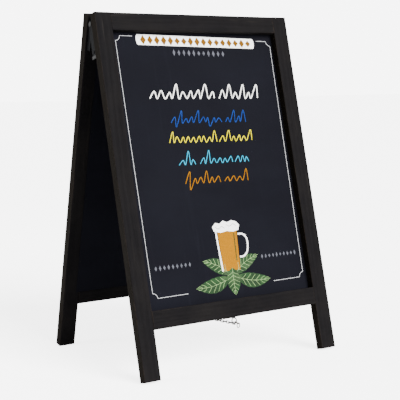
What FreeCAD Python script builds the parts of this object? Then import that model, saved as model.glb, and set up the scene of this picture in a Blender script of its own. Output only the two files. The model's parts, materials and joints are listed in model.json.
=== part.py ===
import FreeCAD, Part
import math
import os

# Folding A-frame chalkboard: two framed boards hinged at the top, held at their spread by a chain.
# Row frame: +X to the right seen from the front, +Y to the back, +Z up, origin on the ground
# under the middle. Each framed board is built upright in its own plane (x across, y from its
# outer face inwards, z up the legs) and then leaned; the rear one is the same, turned half round.

DRIVING = [
    ("board_width", 550.0),       # across both legs
    ("leg_length", 845.0),        # length of a leg
    ("lean_angle", 13.6),         # lean of each board from upright, degrees
    ("timber_width", 42.0),       # face width of legs and rails
    ("timber_thick", 22.0),       # thickness of legs and rails
    ("rail_height", 112.0),       # foot of the leg to the bottom rail
    ("panel_thick", 4.0),
    ("rebate_width", 9.0),        # how far the panel laps over the timber
    ("panel_play", 0.5),          # room round the panel in its rebate
    ("edge_round", 1.5),          # rounding of the timber's long edges
    ("dowel_radius", 4.0),
    ("dowel_depth", 20.0),        # depth of a dowel in each piece
    ("dowel_pitch", 18.0),
    ("fit_gap", 0.03),            # radial room of a pin in its hole
    ("pin_radius", 0.9),
    ("pin_length", 12.0),
    ("pin_head_radius", 2.0),
    ("pin_head_height", 0.8),
    ("top_gap_half", 5.2),        # from the middle plane to a leg's top inner corner
    ("hinge_drop", 20.0),         # from the leg's top to the hinge rivet
    ("leaf_metal", 2.0),
    ("leaf_inset", 3.0),          # from the side of the legs to the hinge plates
    ("leaf_flange", 20.0),
    ("screw_line", 12.4),         # from the outer edge of a flange to its line of screws
    ("front_leaf_length", 98.0),
    ("rear_leaf_length", 78.0),
    ("leaf_top_gap", 4.0),        # from the leg's top to the top of a flange
    ("web_clear", 1.4),           # from a front plate to the other leg when folded
    ("rear_web_width", 15.0),
    ("plate_gap", 0.3),           # between the two plates of a hinge
    ("ear_radius", 8.0),
    ("rivet_radius", 3.0),
    ("rivet_head_radius", 5.5),
    ("rivet_head_height", 1.4),
    ("stop_height", 7.0),
    ("stop_thick", 1.5),
    ("button_radius", 3.6),
    ("button_height", 1.2),
    ("button_rise", 16.0),        # from the plate's lower end to the button
    ("screw_radius", 1.9),
    ("screw_length", 16.0),
    ("screw_head_radius", 3.8),
    ("screw_head_height", 1.8),
    ("screw_recess", 0.7),        # depth of the cross slot in a screw's head
    ("slot_width", 1.0),
    ("slot_length", 4.0),
    ("eye_wire", 1.3),            # radius of the screw eye's wire
    ("eye_ring", 6.5),            # radius of the ring to the middle of its wire
    ("eye_neck", 2.0),            # bare neck under the rail
    ("eye_depth", 18.0),
    ("front_eye_side", 8.4),      # left of the middle, so that the two halves of the chain pass
    ("rear_eye_side", 0.0),
    ("link_wire", 1.0),           # radius of a link's wire
    ("link_inner_width", 3.4),
    ("link_pitch", 12.0),         # the nearest pitch that fills the half span is used
    ("link_play", 0.25),
    ("chain_sag", 8.0),
    ("end_link_width", 5.2),
    ("end_link_length", 9.0),
    ("end_link_side", 50.0),      # where the spare links hang on the ring, degrees from its foot
    ("cut_margin", 1.0),          # how far a cutting shape runs past what it cuts
]

# Where fasteners stand, as shares of the length they are spread over.
HINGE_SCREW_SHARES = (0.12, 0.5, 0.88)
SIDE_PIN_SHARES = (0.12, 0.37, 0.63, 0.88)
RAIL_PIN_SHARES = (-0.3, 0, 0.3)
SLOT_ARMS = (("dims.slot_width", "dims.slot_length"), ("dims.slot_length", "dims.slot_width"))

doc = FreeCAD.newDocument("sandwich_board")
sheet = doc.addObject("Spreadsheet::Sheet", "dims")
for row, (alias, value) in enumerate(DRIVING, start=1):
    sheet.set("A%d" % row, alias)
    sheet.set("B%d" % row, str(value))
    sheet.setAlias("B%d" % row, alias)
doc.recompute()
size = {alias: float(sheet.get(alias)) for alias, _ in DRIVING}

LEAN = math.radians(size["lean_angle"])
NODES = []

# Expressions that several pieces share.
HALF = "dims.board_width / 2"
INNER = "(dims.board_width / 2 - dims.timber_width)"
OPEN_LOW = "(dims.rail_height + dims.timber_width)"
OPEN_HIGH = "(dims.leg_length - dims.timber_width)"
SHOULDER = "(dims.timber_thick - dims.panel_thick)"
PIVOT_Z = "(dims.leg_length - dims.hinge_drop)"
SINE = "sin(dims.lean_angle * 1 deg)"
COSINE = "cos(dims.lean_angle * 1 deg)"
PIVOT_DEPTH = "((dims.top_gap_half + dims.hinge_drop * %s) / %s)" % (SINE, COSINE)
PIVOT_Y = "(dims.timber_thick + %s)" % PIVOT_DEPTH
BASE_Y = "(-dims.top_gap_half - dims.leg_length * %s - dims.timber_thick * %s)" % (SINE, COSINE)
BASE_Z = "(dims.timber_thick * %s)" % SINE
FRONT_PLACE = "placement(vector(0; %s; %s); rotation(vector(1; 0; 0); -dims.lean_angle))" % (BASE_Y, BASE_Z)
REAR_TURN = "rotation(vector(0; 0; 1); 180) * rotation(vector(1; 0; 0); -dims.lean_angle)"
REAR_PLACE = "placement(vector(0; -%s; %s); %s)" % (BASE_Y, BASE_Z, REAR_TURN)
PLACES = {"front": FRONT_PLACE, "rear": REAR_PLACE}

# The same values as numbers, for the pieces whose shapes are computed.
PIVOT_DEPTH_MM = (size["top_gap_half"] + size["hinge_drop"] * math.sin(LEAN)) / math.cos(LEAN)
BASE_Y_MM = (-size["top_gap_half"] - size["leg_length"] * math.sin(LEAN)
             - size["timber_thick"] * math.cos(LEAN))
BASE_Z_MM = size["timber_thick"] * math.sin(LEAN)


def set_place(obj, at):
    for axis, expression in zip("xyz", at):
        obj.setExpression("Placement.Base." + axis, str(expression))


def box(name, lengths, at):
    """A box with its lowest corner at a place."""
    obj = doc.addObject("Part::Box", name)
    for prop, expression in zip(("Length", "Width", "Height"), lengths):
        obj.setExpression(prop, str(expression))
    set_place(obj, at)
    return obj


def rod(name, radius, height, at, direction="z"):
    """A cylinder from a place along an axis; direction is x, y, z, -x, -y or -z."""
    obj = doc.addObject("Part::Cylinder", name)
    obj.setExpression("Radius", str(radius))
    obj.setExpression("Height", str(height))
    turns = {"z": (0, 0, 1), "-z": (0, 0, -1), "x": (1, 0, 0), "-x": (-1, 0, 0),
             "y": (0, 1, 0), "-y": (0, -1, 0)}
    aim = FreeCAD.Vector(*turns[direction])
    obj.Placement = FreeCAD.Placement(FreeCAD.Vector(), FreeCAD.Rotation(FreeCAD.Vector(0, 0, 1), aim))
    set_place(obj, at)
    return obj


def join(name, pieces):
    obj = doc.addObject("Part::MultiFuse", name)
    obj.Shapes = pieces
    return obj


def group(name, pieces):
    obj = doc.addObject("Part::Compound", name)
    obj.Links = pieces
    return obj


def cut(name, base, tools):
    obj = doc.addObject("Part::Cut", name)
    obj.Base = base
    obj.Tool = tools[0] if len(tools) == 1 else group(name + "_tools", tools)
    return obj


def node(label, obj, place=None):
    """Names a finished sub-part and puts it in its board's place."""
    obj.Label = label
    if place:
        obj.setExpression("Placement", place)
    NODES.append(obj)
    return obj


def timber(name, lengths, at, along):
    """A planed batten with its long edges rounded."""
    blank = box(name + "_blank", lengths, at)
    doc.recompute()
    rounded = doc.addObject("Part::Fillet", name + "_rounded")
    rounded.Base = blank
    radius = size["edge_round"]
    edges = []
    for index, edge in enumerate(blank.Shape.Edges, start=1):
        run = edge.Vertexes[1].Point - edge.Vertexes[0].Point
        if abs(getattr(run, along)) > edge.Length * 0.99:
            edges.append((index, radius, radius))
    rounded.Edges = edges
    return rounded


def dowel_places():
    """Where the dowels stand: the side, and their height up the leg."""
    places = []
    for side in (-1, 1):
        for middle in ("(dims.rail_height + dims.timber_width / 2)",
                       "(dims.leg_length - dims.timber_width / 2)"):
            for step in (-0.5, 0.5):
                places.append((side, "%s + dims.dowel_pitch * %s" % (middle, step)))
    return places


def pin_places():
    """Where the panel's pins go, in x and z, as expressions."""
    places = []
    lap_x = "(%s + dims.rebate_width / 2)" % INNER
    low = "(%s - dims.rebate_width / 2)" % OPEN_LOW
    high = "(%s + dims.rebate_width / 2)" % OPEN_HIGH
    for share in SIDE_PIN_SHARES:
        for side in (-1, 1):
            places.append(("%d * %s" % (side, lap_x), "%s + (%s - %s) * %s" % (low, high, low, share)))
    for share in RAIL_PIN_SHARES:
        for level in (low, high):
            places.append(("dims.board_width * %s" % share, level))
    return places


def hinge_screw_heights(length):
    """Heights of the three screws in a hinge leaf of that length."""
    top = "(dims.leg_length - dims.leaf_top_gap)"
    return ["%s - (%s) * %s" % (top, length, share) for share in HINGE_SCREW_SHARES]


def pilot_holes(prefix, length):
    """Holes in the legs for the hinge screws, both sides."""
    holes = []
    for side in (-1, 1):
        x = "%d * (%s - dims.leaf_inset - dims.screw_line)" % (side, HALF)
        for number, height in enumerate(hinge_screw_heights(length)):
            name = "%s_pilot_%d_%d" % (prefix, side + 1, number)
            start = "dims.timber_thick - dims.screw_length + dims.leaf_metal"
            holes.append((side, rod(name, "dims.screw_radius + dims.fit_gap", "dims.screw_length",
                                    (x, start, height), "y")))
    return holes


def dowel_holes(prefix, side_wanted=None, band=None):
    """Dowel holes that a piece shares: by side for a leg, by band (low or high) for a rail."""
    holes = []
    for number, (side, height) in enumerate(dowel_places()):
        is_low = (number // 2) % 2 == 0
        if side_wanted is not None and side != side_wanted:
            continue
        if band is not None and is_low != (band == "low"):
            continue
        start = "%d * %s - dims.dowel_depth - dims.fit_gap" % (side, INNER)
        holes.append(rod("%s_dowel_hole_%d" % (prefix, number), "dims.dowel_radius + dims.fit_gap",
                         "2 * dims.dowel_depth + 2 * dims.fit_gap",
                         (start, "dims.timber_thick / 2", height), "x"))
    return holes


def pin_holes(prefix, wanted):
    """Holes for the panel's pins that pass a test on their number."""
    holes = []
    for number, (x, z) in enumerate(pin_places()):
        if not wanted(number):
            continue
        start = "dims.timber_thick - dims.pin_length"
        holes.append(rod("%s_pin_hole_%d" % (prefix, number), "dims.pin_radius + dims.fit_gap",
                         "dims.pin_length", (x, start, z), "y"))
    return holes


def rebate(name):
    """The space that the panel takes from the timber at its back."""
    lap = "2 * dims.rebate_width"
    return box(name, ("dims.board_width - 2 * dims.timber_width + %s" % lap,
                      "2 * dims.panel_thick",
                      "%s - %s + %s" % (OPEN_HIGH, OPEN_LOW, lap)),
               ("-%s - dims.rebate_width" % INNER, SHOULDER, "%s - dims.rebate_width" % OPEN_LOW))


def leg(board, hand, side, leaf_length):
    prefix = "%s_%s_leg" % (board, hand)
    corner = "-%s" % HALF if side < 0 else INNER
    batten = timber(prefix, ("dims.timber_width", "dims.timber_thick", "dims.leg_length"),
                    (corner, 0, 0), "z")
    tools = [rebate(prefix + "_rebate")]
    tools += dowel_holes(prefix, side_wanted=side)
    pin_side = 0 if side < 0 else 1
    tools += pin_holes(prefix, lambda number: number < 8 and number % 2 == pin_side)
    tools += [hole for at_side, hole in pilot_holes(prefix, leaf_length) if at_side == side]
    return cut(prefix, batten, tools)


def rail(board, band):
    prefix = "%s_%s_rail" % (board, "bottom" if band == "low" else "top")
    height = "dims.rail_height" if band == "low" else OPEN_HIGH
    batten = timber(prefix, ("dims.board_width - 2 * dims.timber_width", "dims.timber_thick",
                             "dims.timber_width"), ("-" + INNER, 0, height), "x")
    tools = [rebate(prefix + "_rebate")]
    tools += dowel_holes(prefix, band=band)
    pin_level = 0 if band == "low" else 1
    tools += pin_holes(prefix, lambda number: number >= 8 and number % 2 == pin_level)
    if band == "low":
        tools.append(rod(prefix + "_eye_hole", "dims.eye_wire + dims.fit_gap", "dims.eye_depth",
                         ("-dims.%s_eye_side" % board, "dims.timber_thick / 2", "dims.rail_height"), "z"))
    return cut(prefix, batten, tools)


def panel(board):
    lap = "(dims.rebate_width - dims.panel_play)"
    sheet_blank = box(board + "_panel_blank",
                      ("dims.board_width - 2 * dims.timber_width + 2 * %s" % lap, "dims.panel_thick",
                       "%s - %s + 2 * %s" % (OPEN_HIGH, OPEN_LOW, lap)),
                      ("-%s - %s" % (INNER, lap), SHOULDER, "%s - %s" % (OPEN_LOW, lap)))
    return cut(board + "_panel", sheet_blank, pin_holes(board + "_panel", lambda number: True))


def panel_pins(board):
    pins = []
    for number, (x, z) in enumerate(pin_places()):
        name = "%s_pin_%d" % (board, number)
        start = "dims.timber_thick - dims.pin_length"
        shank = rod(name + "_shank", "dims.pin_radius", "dims.pin_length", (x, start, z), "y")
        head = rod(name + "_head", "dims.pin_head_radius", "dims.pin_head_height",
                   (x, "dims.timber_thick", z), "y")
        pins.append(join(name, [shank, head]))
    return group(board + "_panel_pins", pins)


def dowels(board):
    pins = []
    for number, (side, height) in enumerate(dowel_places()):
        start = "%d * %s - dims.dowel_depth" % (side, INNER)
        pins.append(rod("%s_dowel_%d" % (board, number), "dims.dowel_radius", "2 * dims.dowel_depth",
                        (start, "dims.timber_thick / 2", height), "x"))
    return group(board + "_dowels", pins)


def screw_eye(board):
    at_x = "-dims.%s_eye_side" % board
    at_y = "dims.timber_thick / 2"
    shank = rod(board + "_eye_shank", "dims.eye_wire", "dims.eye_depth + dims.eye_neck - 0.5",
                (at_x, at_y, "dims.rail_height - dims.eye_neck"), "z")
    ring = doc.addObject("Part::Torus", board + "_eye_ring")
    ring.setExpression("Radius1", "dims.eye_ring")
    ring.setExpression("Radius2", "dims.eye_wire")
    aim = FreeCAD.Rotation(FreeCAD.Vector(0, 0, 1), FreeCAD.Vector(0, 1, 0))
    ring.Placement = FreeCAD.Placement(FreeCAD.Vector(), aim)
    set_place(ring, (at_x, at_y, "dims.rail_height - dims.eye_neck - dims.eye_ring"))
    return join(board + "_screw_eye", [shank, ring])


def leaf(board, hand, side):
    """A hinge leaf: a flange screwed to the leg and a plate that carries the rivet."""
    prefix = "%s_hinge_%s_leaf" % (hand, board)
    is_front = board == "front"
    length = "dims.front_leaf_length" if is_front else "dims.rear_leaf_length"
    outer = "(%s - dims.leaf_inset)" % HALF
    if not is_front:
        outer = "(%s - dims.leaf_inset - dims.leaf_metal - dims.plate_gap)" % HALF
    web = "(2 * %s - dims.web_clear)" % PIVOT_DEPTH if is_front else "dims.rear_web_width"
    low = "(dims.leg_length - dims.leaf_top_gap - %s)" % length
    web_x = "-" + outer if side < 0 else "%s - dims.leaf_metal" % outer
    flange_x = "-" + outer if side < 0 else "%s - dims.leaf_flange" % outer
    flange = box(prefix + "_flange", ("dims.leaf_flange", "dims.leaf_metal", length),
                 (flange_x, "dims.timber_thick", low))
    plate = box(prefix + "_plate", ("dims.leaf_metal", web, "%s - %s" % (PIVOT_Z, low)),
                (web_x, "dims.timber_thick", low))
    ear = rod(prefix + "_ear", "dims.ear_radius", "dims.leaf_metal", (web_x, PIVOT_Y, PIVOT_Z), "x")
    body = join(prefix + "_body", [flange, plate, ear])
    hole_x = "%s - dims.cut_margin" % web_x
    through = "dims.leaf_metal + 2 * dims.cut_margin"
    holes = [rod(prefix + "_rivet_hole", "dims.rivet_radius + dims.fit_gap", through,
                 (hole_x, PIVOT_Y, PIVOT_Z), "x")]
    screw_x = "%d * (%s - dims.leaf_inset - dims.screw_line)" % (side, HALF)
    for number, height in enumerate(hinge_screw_heights(length)):
        holes.append(rod("%s_screw_hole_%d" % (prefix, number), "dims.screw_radius + dims.fit_gap",
                         through, (screw_x, "dims.timber_thick - dims.cut_margin", height), "y"))
    return cut(prefix, body, holes)


def hinge_screws(board):
    """The six screws of one board's two hinge leaves, each with a slot across its head."""
    length = "dims.front_leaf_length" if board == "front" else "dims.rear_leaf_length"
    screws = []
    for side in (-1, 1):
        x = "%d * (%s - dims.leaf_inset - dims.screw_line)" % (side, HALF)
        for number, height in enumerate(hinge_screw_heights(length)):
            name = "%s_screw_%d_%d" % (board, side + 1, number)
            start = "dims.timber_thick - dims.screw_length + dims.leaf_metal"
            seat = "dims.timber_thick + dims.leaf_metal"
            shank = rod(name + "_shank", "dims.screw_radius", "dims.screw_length", (x, start, height), "y")
            head = rod(name + "_head", "dims.screw_head_radius", "dims.screw_head_height",
                       (x, seat, height), "y")
            slots = []
            for arm, (wide, tall) in enumerate(SLOT_ARMS):
                slots.append(box("%s_slot_%d" % (name, arm),
                                 (wide, "dims.screw_recess + dims.cut_margin", tall),
                                 ("%s - %s / 2" % (x, wide),
                                  "%s + dims.screw_head_height - dims.screw_recess" % seat,
                                  "%s - %s / 2" % (height, tall))))
            screws.append(cut(name, join(name + "_solid", [shank, head]), [join(name + "_cross", slots)]))
    return group(board + "_hinge_screws", screws)


def hinge_rivet(hand, side):
    """The rivet that both leaves turn on, with its two heads."""
    prefix = hand + "_hinge_rivet"
    outer = "(%s - dims.leaf_inset)" % HALF
    stack = "(2 * dims.leaf_metal + 2 * dims.plate_gap)"
    start = "-%s" % outer if side < 0 else "%s - %s" % (outer, stack)
    shank = rod(prefix + "_shank", "dims.rivet_radius", stack, (start, PIVOT_Y, PIVOT_Z), "x")
    near = rod(prefix + "_near", "dims.rivet_head_radius", "dims.rivet_head_height",
               ("%s - dims.rivet_head_height" % start, PIVOT_Y, PIVOT_Z), "x")
    far = rod(prefix + "_far", "dims.rivet_head_radius", "dims.rivet_head_height",
              ("%s + %s" % (start, stack), PIVOT_Y, PIVOT_Z), "x")
    return join(prefix, [shank, near, far])


def hinge_stop(hand, side):
    """The bright stop bar across the lower end of a front plate, on its outer face."""
    outer = "(%s - dims.leaf_inset)" % HALF
    low = "(dims.leg_length - dims.leaf_top_gap - dims.front_leaf_length)"
    x = "-%s - dims.stop_thick" % outer if side < 0 else outer
    bar = box(hand + "_stop_bar", ("dims.stop_thick", "2 * %s - dims.web_clear" % PIVOT_DEPTH,
                                     "dims.stop_height"), (x, "dims.timber_thick", low))
    return group(hand + "_stop_group", [bar])


def hinge_button(hand, side):
    """The round-headed rivet above the stop bar."""
    outer = "(%s - dims.leaf_inset)" % HALF
    low = "(dims.leg_length - dims.leaf_top_gap - dims.front_leaf_length)"
    x = "-%s - dims.button_height" % outer if side < 0 else outer
    head = rod(hand + "_button_head", "dims.button_radius", "dims.button_height",
               (x, "dims.timber_thick + dims.button_radius * 3", "%s + dims.button_rise" % low), "x")
    return group(hand + "_button_group", [head])


def link_shape(inner_width, inner_length, wire):
    """One chain link round the origin: its length along x, its plane xy."""
    radius = inner_width / 2 + wire
    half = inner_length / 2 - inner_width / 2
    start = FreeCAD.Vector(-half, -radius, 0)
    corner = FreeCAD.Vector(half, -radius, 0)
    top = FreeCAD.Vector(half, radius, 0)
    last = FreeCAD.Vector(-half, radius, 0)
    far = FreeCAD.Vector(half + radius, 0, 0)
    near = FreeCAD.Vector(-half - radius, 0, 0)
    path = Part.Wire([Part.makeLine(start, corner), Part.Arc(corner, far, top).toShape(),
                      Part.makeLine(top, last), Part.Arc(last, near, start).toShape()])
    section = Part.Wire([Part.makeCircle(wire, start, FreeCAD.Vector(1, 0, 0))])
    return path.makePipeShell([section], True, True)


def eye_hang_point(board):
    """The middle of the ring's lowest wire on a screw eye, in the frame of its own board."""
    y = size["timber_thick"] / 2
    z = size["rail_height"] - size["eye_neck"] - 2 * size["eye_ring"]
    return FreeCAD.Vector(-size[board + "_eye_side"],
                          y * math.cos(LEAN) + z * math.sin(LEAN) + BASE_Y_MM,
                          z * math.cos(LEAN) - y * math.sin(LEAN) + BASE_Z_MM)


def half_chain(hang):
    """The links from an eye to the middle, each turned a quarter from the last, in a shallow sag."""
    wire = size["link_wire"]
    seat = size["link_inner_width"] / 2
    span = -hang.y
    count = int(round(span / size["link_pitch"]))
    pitch = (span + seat - 2 * wire) / count
    inner_length = pitch + size["link_play"]
    links = []
    for number in range(count):
        middle = hang.y - seat + inner_length / 2 + pitch * number
        share = (middle - hang.y) / span
        height = hang.z - size["chain_sag"] * (2 * share - share * share)
        slope = math.degrees(math.atan(-size["chain_sag"] * (2 - 2 * share) / span))
        shape = link_shape(size["link_inner_width"], inner_length, wire)
        if number % 2 == 0:
            shape.rotate(FreeCAD.Vector(), FreeCAD.Vector(1, 0, 0), 90)
        shape.rotate(FreeCAD.Vector(), FreeCAD.Vector(0, 0, 1), 90)
        shape.rotate(FreeCAD.Vector(), FreeCAD.Vector(1, 0, 0), slope)
        shape.translate(FreeCAD.Vector(hang.x, middle, height))
        links.append(shape)
    return Part.Compound(links)


def end_links(hang):
    """The two spare links at the front eye: one leans out from the ring, one dangles from it."""
    wire = size["link_wire"]
    width = size["end_link_width"]
    length = size["end_link_length"]
    side = math.radians(size["end_link_side"])
    rise = size["eye_ring"] * (1 - math.cos(side))
    seat = FreeCAD.Vector(hang.x + size["eye_ring"] * math.sin(side),
                          hang.y + rise * math.sin(LEAN), hang.z + rise * math.cos(LEAN))
    outward = FreeCAD.Vector(math.sin(side), 0, -math.cos(side))
    room = size["eye_wire"] + 2 * size["link_play"]
    first = link_shape(width, length, wire)
    first.rotate(FreeCAD.Vector(), FreeCAD.Vector(0, 1, 0), 90 - size["end_link_side"])
    first.translate(seat + outward * (length / 2 - room))
    second = link_shape(width, length, wire)
    second.rotate(FreeCAD.Vector(), FreeCAD.Vector(0, 1, 0), -90)
    second.rotate(FreeCAD.Vector(), FreeCAD.Vector(0, 0, 1), 90)
    hook = seat + outward * (length - room + wire)
    second.translate(hook + FreeCAD.Vector(0, 0, wire + size["link_play"] - length / 2))
    return Part.Compound([first, second])


def feature(label, shape):
    obj = doc.addObject("Part::Feature", label)
    obj.Shape = shape
    return obj


def build():
    for board in ("front", "rear"):
        place = PLACES[board]
        # The rear board is turned half round, so its own left is the row's right.
        hands = {-1: "left", 1: "right"} if board == "front" else {-1: "right", 1: "left"}
        length = "dims.front_leaf_length" if board == "front" else "dims.rear_leaf_length"
        for side, hand in hands.items():
            node("%s_%s_leg" % (board, hand), leg(board, hand, side, length), place)
            node("%s_hinge_%s_leaf" % (hand, board), leaf(board, hand, side), place)
        node(board + "_top_rail", rail(board, "high"), place)
        node(board + "_bottom_rail", rail(board, "low"), place)
        node(board + "_panel", panel(board), place)
        node(board + "_panel_pins", panel_pins(board), place)
        node(board + "_dowels", dowels(board), place)
        node(board + "_screw_eye", screw_eye(board), place)
        node(board + "_hinge_screws", hinge_screws(board), place)
    for side, hand in ((-1, "left"), (1, "right")):
        node(hand + "_hinge_rivet", hinge_rivet(hand, side), FRONT_PLACE)
        node(hand + "_hinge_stop", hinge_stop(hand, side), FRONT_PLACE)
        node(hand + "_hinge_button", hinge_button(hand, side), FRONT_PLACE)
    front_hang = eye_hang_point("front")
    rear_hang = eye_hang_point("rear")
    node("front_chain_links", feature("front_chain", half_chain(front_hang)))
    rear = node("rear_chain_links", feature("rear_chain", half_chain(rear_hang)))
    rear.Placement = FreeCAD.Placement(FreeCAD.Vector(), FreeCAD.Rotation(FreeCAD.Vector(0, 0, 1), 180))
    node("chain_end_links", feature("chain_end", end_links(front_hang)))
    return front_hang


hang_point = build()
doc.recompute()

for obj in doc.Objects:
    if "Invalid" in obj.State or "Error" in obj.State:
        raise RuntimeError("%s (%s) failed: %s" % (obj.Name, obj.Label, obj.State))
for obj in NODES:
    if obj.Shape.isNull() or not obj.Shape.isValid() or not obj.Shape.Solids:
        raise RuntimeError("bad shape: " + obj.Label)

os.makedirs("parts", exist_ok=True)
for obj in NODES:
    obj.Shape.exportStep("parts/%s.step" % obj.Label)

whole = FreeCAD.BoundBox()
for obj in NODES:
    whole.add(obj.Shape.BoundBox)
print("nodes %d" % len(NODES))
print("box %.2f %.2f %.2f to %.2f %.2f %.2f" % (whole.XMin, whole.YMin, whole.ZMin,
                                                whole.XMax, whole.YMax, whole.ZMax))
pivot_z = size["leg_length"] - size["hinge_drop"]
pivot_y = size["timber_thick"] + PIVOT_DEPTH_MM
print("hinge axis y %.3f z %.3f" % (pivot_y * math.cos(LEAN) + pivot_z * math.sin(LEAN) + BASE_Y_MM,
                                    pivot_z * math.cos(LEAN) - pivot_y * math.sin(LEAN) + BASE_Z_MM))
print("chain hangs at %.3f %.3f %.3f" % (hang_point.x, hang_point.y, hang_point.z))
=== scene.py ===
"""Folding chalkboard with two framed boards: its finishes, its drawings and a plain studio."""

import json
import math
import random

import bmesh
import bpy
from bpy.props import FloatProperty, FloatVectorProperty, IntProperty, PointerProperty
from mathutils import Matrix, Vector


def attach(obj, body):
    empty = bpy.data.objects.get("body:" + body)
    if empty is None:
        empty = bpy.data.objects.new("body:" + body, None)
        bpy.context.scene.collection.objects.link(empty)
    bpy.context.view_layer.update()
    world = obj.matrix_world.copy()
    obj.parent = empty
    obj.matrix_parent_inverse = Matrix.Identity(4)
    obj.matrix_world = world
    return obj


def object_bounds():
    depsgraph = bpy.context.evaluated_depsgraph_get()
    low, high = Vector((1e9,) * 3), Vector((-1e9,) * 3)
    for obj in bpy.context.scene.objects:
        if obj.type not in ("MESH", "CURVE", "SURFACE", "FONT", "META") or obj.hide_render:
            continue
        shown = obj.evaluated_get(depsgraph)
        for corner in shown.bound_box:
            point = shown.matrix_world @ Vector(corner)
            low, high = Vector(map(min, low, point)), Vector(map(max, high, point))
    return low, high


bl_info = {
    "name": "Sandwich Board",
    "version": (1, 0, 0),
    "blender": (4, 5, 0),
    "location": "View3D > Sidebar > Sandwich Board",
    "description": "Finishes and decorates a folding chalkboard on its fixed frame",
    "category": "Object",
}

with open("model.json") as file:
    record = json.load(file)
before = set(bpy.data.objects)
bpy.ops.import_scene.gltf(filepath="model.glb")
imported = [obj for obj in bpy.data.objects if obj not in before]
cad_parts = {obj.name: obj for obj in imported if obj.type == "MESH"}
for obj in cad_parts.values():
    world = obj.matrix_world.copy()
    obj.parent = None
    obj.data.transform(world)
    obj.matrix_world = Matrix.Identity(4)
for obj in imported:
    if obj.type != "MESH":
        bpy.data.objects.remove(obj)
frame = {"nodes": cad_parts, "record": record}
NODES = frame["nodes"]
CAD_BOX = [list(corner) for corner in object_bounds()]
MM = 0.001

BOARDS = ("front", "rear")
LEGS = ("left_leg", "right_leg")
RAILS = ("top_rail", "bottom_rail")

# Drawings are laid out in millimetres on a panel: across from its middle, and up from a level
# a little below the top of the bottom rail.
ZERO_HEIGHT = -3.5
# The drawings are laid on a little askew: their left edge, width and height, and how far the
# right side comes down at the top and up at the foot.
ASKEW_LEFT, ASKEW_WIDTH, ASKEW_HEIGHT = -220.0, 446.0, 645.0
ASKEW_FALL = 10.0
ASKEW_RISE = 4.0
# How far each layer of paint or chalk stands out.
SUNK = -0.05
FILL_TOP = 0.20
LINE_TOP = 0.30
OVER_TOP = 0.40
DETAIL_TOP = 0.50

WHITE_CHALK = "white"
BLUE_CHALK = "blue"
YELLOW_CHALK = "yellow"
CYAN_CHALK = "cyan"
AMBER_CHALK = "amber"


def srgb(red, green, blue):
    """A display colour of 0 to 255 as the linear colour that a shader takes."""
    linear = []
    for level in (red, green, blue):
        share = level / 255.0
        linear.append(share / 12.92 if share <= 0.04045 else ((share + 0.055) / 1.055) ** 2.4)
    return tuple(linear)


def colour_property(name, description, default):
    return FloatVectorProperty(name=name, description=description, subtype="COLOR", size=3,
                               min=0.0, max=1.0, default=default)


def length_property(name, description, default_mm):
    return FloatProperty(name=name, description=description, unit="LENGTH", min=0.0,
                         precision=5, default=default_mm * MM)


class SandwichBoardFinish(bpy.types.PropertyGroup):
    """Colours and wear of the timber, the panels and the metal."""

    stain: colour_property("Stain", "Black stain on the timber", srgb(8, 7, 8))
    # Painted light: the faces of the legs that look sideways get a lighter, browner colour that stands in
    # for the light falling on them from the side.
    side_stain: colour_property("Side stain", "Browner stain on the narrow sides of the legs",
                                srgb(12, 9, 6))
    worn_edge: colour_property("Worn edge", "Timber that shows where the stain has rubbed off",
                               srgb(44, 36, 29))
    edge_width: length_property("Edge wear width", "How far wear reaches in from an edge", 2.2)
    edge_amount: FloatProperty(name="Edge wear", description="How much of the edges is worn",
                               min=0.0, max=1.0, default=0.3)
    slate: colour_property("Panel paint", "Blackboard paint on the panels", srgb(9, 9, 14))
    haze: colour_property("Chalk haze", "Wiped chalk dust on the panels", srgb(44, 46, 56))
    dark_steel: colour_property("Hinge plates", "Blackened steel of the hinge plates",
                                srgb(5, 6, 8))
    zinc: colour_property("Zinc", "Zinc plate on the screws, rivets and eyes", srgb(66, 66, 66))
    chain: colour_property("Chain", "Nickelled steel of the chain", srgb(96, 93, 88))


class SandwichBoardDrawing(bpy.types.PropertyGroup):
    """Sizes and colours of what is drawn on the panels."""

    border_width: length_property("Border width", "Width of the painted border line", 1.15)
    title_width: length_property("Title width", "Width of the chalk in the top row", 3.0)
    row_width: length_property("Row width", "Width of the chalk in the coloured rows", 2.2)
    unevenness: FloatProperty(name="Unevenness", description="How much a chalk stroke swells",
                              min=0.0, max=1.0, default=0.35)
    seed: IntProperty(name="Seed", description="Seed of the chalk strokes", default=11, min=0)
    border: colour_property("Border paint", "Thin border line", srgb(178, 178, 180))
    white: colour_property("White chalk", "Top row, foam and plaque", srgb(244, 243, 240))
    blue: colour_property("Blue chalk", "Second row", srgb(20, 50, 112))
    yellow: colour_property("Yellow chalk", "Third row", srgb(196, 184, 6))
    cyan: colour_property("Cyan chalk", "Fourth row", srgb(30, 136, 164))
    amber: colour_property("Amber chalk", "Fifth row and the drink", srgb(130, 84, 0))
    gold: colour_property("Gold", "Ornaments on the plaque", srgb(96, 62, 10))
    grey: colour_property("Grey", "Small ornaments on the panel", srgb(80, 81, 88))
    leaf: colour_property("Leaf", "Body of the leaves", srgb(20, 50, 18))
    cream: colour_property("Cream", "Veins and lights of the leaves", srgb(120, 146, 96))


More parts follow.
